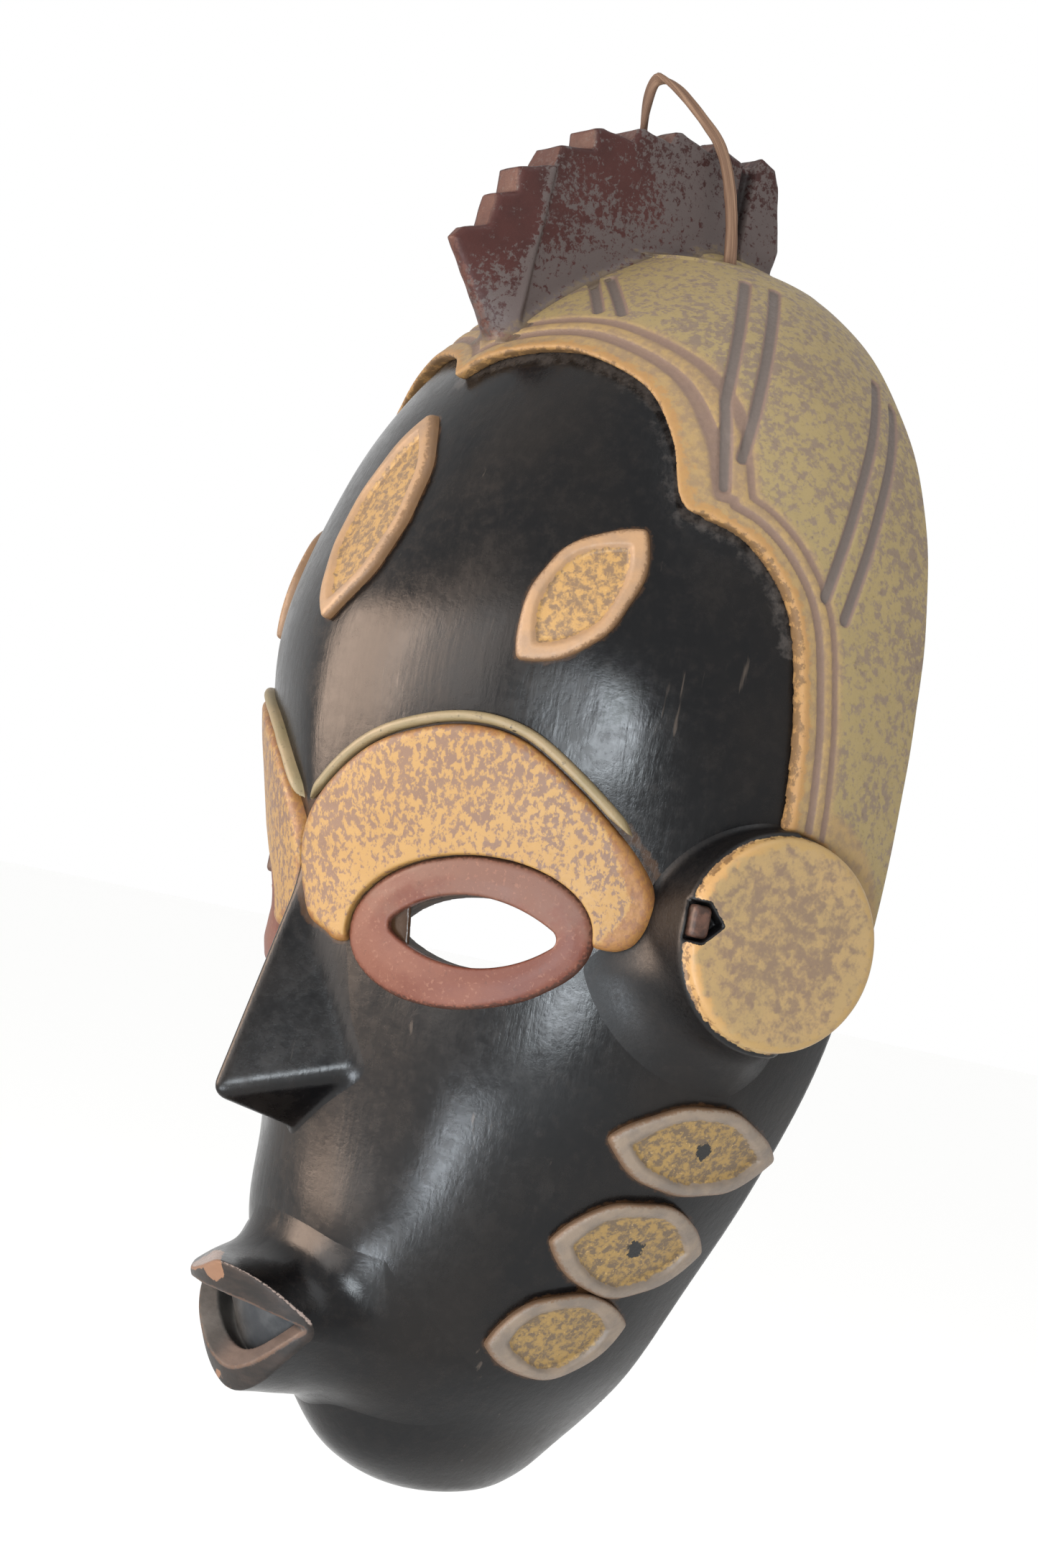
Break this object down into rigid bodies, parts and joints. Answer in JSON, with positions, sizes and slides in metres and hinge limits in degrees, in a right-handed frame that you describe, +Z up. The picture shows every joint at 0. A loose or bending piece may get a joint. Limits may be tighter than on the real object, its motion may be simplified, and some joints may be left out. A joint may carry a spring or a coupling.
{
  "type": "wall mask",
  "caption": "Long oval carved wooden face mask with a toothed crest, ring eyes, pyramid nose, pouting mouth, disc ears and painted leaf marks, hung by a fibre cord.",
  "frame": {"origin": "hanging point just under the fold at the top of the cord loop, on the mask's middle plane", "axes": "+Z up along the mask, -Y the way the face looks, +X the mask's own left; the flat back lies in the plane Y = +0.046 m"},
  "size_m": [0.2108, 0.1215, 0.3809],
  "materials": {
    "black_wood": "black stain, waxed and polished to a soft sheen, fine carving scratches",
    "hair_ochre": "green-brown ochre dabbed over taupe, matte, worn",
    "crest_oxblood": "dark oxblood mottled with grey, matte",
    "ear_ochre": "greenish ochre mottled over taupe, brighter edge, satin",
    "brow_ochre": "bright ochre dabbed over taupe brown, matte",
    "brow_edge": "pale yellow grey, matte",
    "ring_terracotta": "terracotta pink, satin",
    "mark_ochre": "grey-pink rim, ochre mottled floor, matte",
    "lip_wood": "black outside, bare carved wood inside the mouth",
    "cord_fibre": "flat tan plant fibre strip, twisted"
  },
  "bodies": {
    "root": {"face_shell": "black_wood", "hair_cap": "hair_ochre", "crest": "crest_oxblood", "ear_left": "ear_ochre", "ear_right": "ear_ochre", "ear_stub_left": "black_wood", "ear_stub_right": "black_wood", "nose": "black_wood", "upper_lip": "lip_wood", "lower_lip": "lip_wood", "eye_ring_left": "ring_terracotta", "eye_ring_right": "ring_terracotta", "brow_left": "brow_ochre", "brow_right": "brow_ochre", "brow_edge_left": "brow_edge", "brow_edge_right": "brow_edge", "forehead_mark_centre": "mark_ochre", "forehead_mark_left": "mark_ochre", "forehead_mark_right": "mark_ochre", "cheek_mark_left_upper": "mark_ochre", "cheek_mark_left_middle": "mark_ochre", "cheek_mark_left_lower": "mark_ochre", "cheek_mark_right_upper": "mark_ochre", "cheek_mark_right_middle": "mark_ochre", "cheek_mark_right_lower": "mark_ochre", "hanging_cord": "cord_fibre", "cord_knot_left": "cord_fibre", "cord_knot_right": "cord_fibre"}
  },
  "joints": []
}
